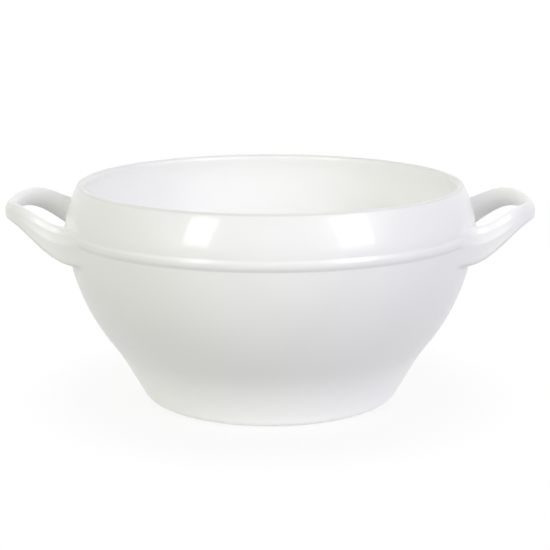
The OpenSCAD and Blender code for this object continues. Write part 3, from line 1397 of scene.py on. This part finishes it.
@dataclass
class Studio:
    """Pale floor, soft light and the photograph's camera, with places in metres."""

    camera_at: tuple[float, float, float] = (0.00144, -0.480, 0.14334)
    pitch: float = 12.399
    focal_px: float = 1558.8
    frame_px: float = 550.0
    sensor: float = 36.0
    floor_r: float = 6.0
    floor_steps: int = 96
    floor_roughness: float = 0.8
    floor_colour: Colour = (0.88, 0.88, 0.88)
    far_colour: Colour = (0.38, 0.38, 0.38)
    near: float = 0.034
    far: float = 0.085
    least_white: float = 0.84
    target: Vector = field(default_factory=lambda: Vector((0.0, 0.0, 0.04)))
    glows: tuple[Glow, ...] = (
        Glow("front_right", azimuth=45, elevation=8, colour=(1.64, 1.63, 1.65)),
        Glow("front_left", azimuth=-45, elevation=8, colour=(1.40, 1.44, 1.24)),
        Glow("back", azimuth=180, elevation=30, colour=(2.46, 2.48, 2.40)),
    )
    softboxes: tuple[Softbox, ...] = (
        Softbox("left_softbox", azimuth=-39.8, elevation=27.3, width=0.20, height=0.34, radiance=12.0),
        Softbox("right_softbox", azimuth=47.6, elevation=27.3, width=0.27, height=0.34, radiance=14.0),
        Softbox("front_softbox", azimuth=0, elevation=28, width=0.10, height=0.12, radiance=3.0),
        Softbox("left_lamp", azimuth=-39.8, elevation=27.3, width=0.25, height=0.34, radiance=5.5,
                shows=Shows.BODY, colour=(1.0, 0.985, 0.95)),
        Softbox("right_lamp", azimuth=47.6, elevation=27.3, width=0.25, height=0.34, radiance=7.0,
                shows=Shows.BODY, colour=(0.85, 0.835, 1.0)),
    )

    def build(self) -> None:
        """Set the floor, world, lamps and camera."""
        bpy.context.scene.view_settings.view_transform = "Standard"
        self._floor()
        self._world()
        for box in self.softboxes:
            box.place(self.target)
        self._camera()

    @staticmethod
    def _seen(build: NodeTree) -> Socket:
        """Mark the rays from the camera, from gloss and through glass.

        Args:
            build: The tree in the making.

        Returns:
            A socket that is 1 for these rays, and 0 for others.
        """
        path = build.add("ShaderNodeLightPath").outputs
        first = build.combine("MAXIMUM", path["Is Camera Ray"], path["Is Glossy Ray"])
        return build.combine("MAXIMUM", first, path["Is Transmission Ray"])

    def _floor(self) -> None:
        """Lay a round floor that keeps the bowl's shadow and turns plain white farther out."""
        turns = [2 * math.pi * k / self.floor_steps for k in range(self.floor_steps)]
        mesh = bpy.data.meshes.new("floor")
        rim = [(self.floor_r * math.cos(turn), self.floor_r * math.sin(turn), 0.0) for turn in turns]
        mesh.from_pydata(rim, [], [tuple(range(self.floor_steps))])
        floor = bpy.data.objects.new("floor", mesh)
        bpy.context.scene.collection.objects.link(floor)
        made, build, shader = new_material("pale_floor")
        place = build.add("ShaderNodeTexCoord").outputs["Object"]
        length = build.add("ShaderNodeVectorMath", {0: place}, operation="LENGTH").outputs["Value"]
        span = {"Value": length, "From Min": self.near, "From Max": self.far}
        fade = build.add("ShaderNodeMapRange", span, interpolation_type="SMOOTHSTEP").outputs["Result"]
        build.feed(shader, {
            "Base Color": build.mix(fade, self.floor_colour, self.far_colour),
            "Roughness": self.floor_roughness,
            "Specular IOR Level": 0.0,
        })
        most = build.add("ShaderNodeMapRange", {"Value": fade, "To Min": self.least_white}).outputs["Result"]
        share = build.combine("MULTIPLY", self._seen(build), most)
        white = build.add("ShaderNodeEmission").outputs[0]
        blend = build.add("ShaderNodeMixShader", {"Fac": share, 1: shader.outputs[0], 2: white})
        build.feed(made.node_tree.nodes["Material Output"], {"Surface": blend.outputs[0]})
        mesh.materials.append(made)

    def _world(self) -> None:
        """Light the bowl from soft lobes of a surround that shows as plain white."""
        world = bpy.data.worlds.new("surround")
        bpy.context.scene.world = world
        world.use_nodes = True
        world.node_tree.nodes.clear()
        build = NodeTree(world.node_tree)
        way = build.add("ShaderNodeTexCoord").outputs["Generated"]
        total, *others = [self._lobe(build, way, glow) for glow in self.glows]
        for lobe in others:
            total = build.combine("ADD", total, lobe, "ShaderNodeVectorMath")
        light = build.add("ShaderNodeBackground", {"Color": total}).outputs[0]
        white = build.add("ShaderNodeBackground", {"Color": (*WHITE, 1.0)}).outputs[0]
        blend = build.add("ShaderNodeMixShader", {"Fac": self._seen(build), 1: light, 2: white})
        build.add("ShaderNodeOutputWorld", {"Surface": blend.outputs[0]})

    @staticmethod
    def _lobe(build: NodeTree, way: Socket, glow: Glow) -> Socket:
        """Add one lobe of light to the surround.

        Args:
            build: The tree in the making.
            way: Socket of the direction that is looked in.
            glow: The lobe's place and colour.

        Returns:
            The socket of its light.
        """
        ways = {0: way, 1: facing(glow.azimuth, glow.elevation)}
        dot = build.add("ShaderNodeVectorMath", ways, operation="DOT_PRODUCT", label=glow.name)
        front = build.combine("MAXIMUM", dot.outputs["Value"], 0.0)
        power = build.combine("POWER", front, glow.narrowness)
        scaled = {0: glow.colour, "Scale": power}
        return build.add("ShaderNodeVectorMath", scaled, operation="SCALE").outputs[0]

    def _camera(self) -> None:
        """Set the camera as the photograph was taken."""
        data = bpy.data.cameras.new("camera")
        data.sensor_width = self.sensor
        data.lens = self.sensor * self.focal_px / self.frame_px
        data.dof.use_dof = False
        holder = bpy.data.objects.new("camera", data)
        holder.location = self.camera_at
        holder.rotation_euler = (math.radians(90 - self.pitch), 0.0, 0.0)
        bpy.context.scene.collection.objects.link(holder)
        bpy.context.scene.camera = holder


def main() -> None:
    """Build the bowl's pieces round the frame, then the studio."""
    logging.basicConfig(level=logging.INFO, format="%(name)s: %(message)s")
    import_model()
    outline = BowlOutline()
    form = TurnedForm()
    finishes = Finishes.make()
    pieces = [
        BowlBody(outline, form).build(finishes),
        FootRing(outline, form).build(finishes),
        LoopHandle(outline, Side.LEFT).build(finishes),
        LoopHandle(outline, Side.RIGHT).build(finishes),
    ]
    for piece in pieces:
        LOG.info("%s has %d faces", piece.name, len(piece.data.polygons))
    Studio().build()


if __name__ == "__main__":
    main()
